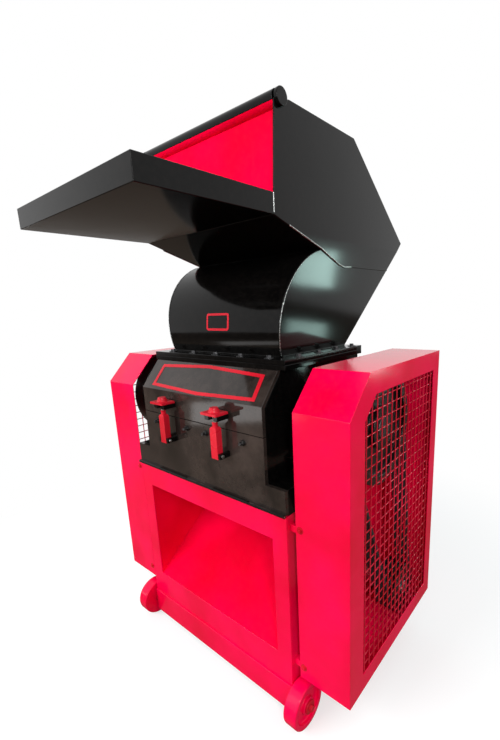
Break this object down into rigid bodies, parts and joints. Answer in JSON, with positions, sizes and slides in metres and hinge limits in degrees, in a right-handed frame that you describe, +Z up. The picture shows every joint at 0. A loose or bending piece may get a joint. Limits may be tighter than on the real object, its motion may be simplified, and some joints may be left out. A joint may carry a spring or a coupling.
{
  "type": "plastic granulator",
  "caption": "Floor-standing plastic granulator on wheels: red cabinet and mesh drive guards, black cutting chamber with hinged clamped door, rolled throat and tray-fronted feed hopper.",
  "frame": {"origin": "middle of the machine's footprint box on the floor", "axes": "+X is the right side as seen from the front, +Y the back, +Z up"},
  "size_m": [1.07, 1.164, 1.7289],
  "materials": {
    "red_paint": "gloss",
    "black_paint": "gloss",
    "bright_steel": "satin",
    "dark_steel": "satin",
    "belt_rubber": "matte"
  },
  "bodies": {
    "frame": {"base_front": "red_paint", "base_side_left": "red_paint", "base_side_right": "red_paint", "base_back": "red_paint", "base_top_frame": "red_paint", "base_bottom_frame": "red_paint", "discharge_chute": "red_paint", "wheel_axles": "bright_steel", "motor_body": "red_paint", "drive_belts": "belt_rubber", "pedestal_left": "black_paint", "pedestal_right": "black_paint", "chamber_side_left": "black_paint", "chamber_side_right": "black_paint", "chamber_back": "black_paint", "chamber_front": "black_paint", "chamber_flange": "black_paint", "knife_beams": "dark_steel", "bed_knives": "bright_steel", "screen": "bright_steel", "screen_cradle": "dark_steel", "hinge_leaves": "black_paint", "hinge_pin": "bright_steel", "clamp_lugs": "black_paint", "bearing_left": "black_paint", "bearing_right": "black_paint", "guard_shell_left": "red_paint", "guard_shell_right": "red_paint", "guard_mesh_left": "red_paint", "guard_mesh_right": "red_paint", "guard_brackets": "red_paint", "hopper_flange": "black_paint", "hopper_side_left": "black_paint", "hopper_side_right": "black_paint", "throat_sheet": "black_paint", "hopper_back_sheet": "black_paint", "feed_tray": "black_paint", "flap_rod": "black_paint"},
    "rotor": {"rotor_shaft": "bright_steel", "rotor_body": "dark_steel", "rotor_knives": "bright_steel", "driven_pulley": "black_paint", "flywheel": "black_paint"},
    "motor_rotor": {"motor_shaft": "bright_steel", "motor_pulley": "black_paint"},
    "door": {"access_door": "black_paint", "door_screws": "bright_steel", "clamp_pins": "bright_steel"},
    "clamp_left": {"swing_bolt_left": "bright_steel", "clamp_block_left": "red_paint", "clamp_nut_left": "red_paint"},
    "clamp_right": {"swing_bolt_right": "bright_steel", "clamp_block_right": "red_paint", "clamp_nut_right": "red_paint"},
    "flap": {"flap": "red_paint"},
    "wheel_front_left": {"wheel_front_left": "red_paint"},
    "wheel_front_right": {"wheel_front_right": "red_paint"},
    "wheel_rear_left": {"wheel_rear_left": "red_paint"},
    "wheel_rear_right": {"wheel_rear_right": "red_paint"}
  },
  "joints": [
    {"name": "rotor_spin", "type": "hinge", "parent": "frame", "child": "rotor", "pos_m": [0, -0.023, 0.875], "axis": [1, 0, 0], "continuous": true},
    {"name": "motor_spin", "type": "hinge", "parent": "frame", "child": "motor_rotor", "pos_m": [0, 0.15, 0.252], "axis": [1, 0, 0], "continuous": true},
    {"name": "door_hinge", "type": "hinge", "parent": "frame", "child": "door", "pos_m": [0, -0.286, 0.67], "axis": [1, 0, 0], "range_deg": [0, 100]},
    {"name": "clamp_left_pivot", "type": "hinge", "parent": "door", "child": "clamp_left", "pos_m": [-0.125, -0.31, 0.804], "axis": [1, 0, 0], "range_deg": [0, 100]},
    {"name": "clamp_right_pivot", "type": "hinge", "parent": "door", "child": "clamp_right", "pos_m": [0.125, -0.31, 0.804], "axis": [1, 0, 0], "range_deg": [0, 100]},
    {"name": "flap_swing", "type": "hinge", "parent": "frame", "child": "flap", "pos_m": [0, -0.163, 1.708], "axis": [1, 0, 0], "range_deg": [-20, 70]},
    {"name": "wheel_front_left_spin", "type": "hinge", "parent": "frame", "child": "wheel_front_left", "pos_m": [-0.3765, -0.268, 0.068], "axis": [1, 0, 0], "continuous": true},
    {"name": "wheel_front_right_spin", "type": "hinge", "parent": "frame", "child": "wheel_front_right", "pos_m": [0.3765, -0.268, 0.068], "axis": [1, 0, 0], "continuous": true},
    {"name": "wheel_rear_left_spin", "type": "hinge", "parent": "frame", "child": "wheel_rear_left", "pos_m": [-0.3765, 0.235, 0.068], "axis": [1, 0, 0], "continuous": true},
    {"name": "wheel_rear_right_spin", "type": "hinge", "parent": "frame", "child": "wheel_rear_right", "pos_m": [0.3765, 0.235, 0.068], "axis": [1, 0, 0], "continuous": true}
  ],
  "couplings": [
    {"joint": "motor_spin", "follows": "rotor_spin", "ratio": 2}
  ]
}
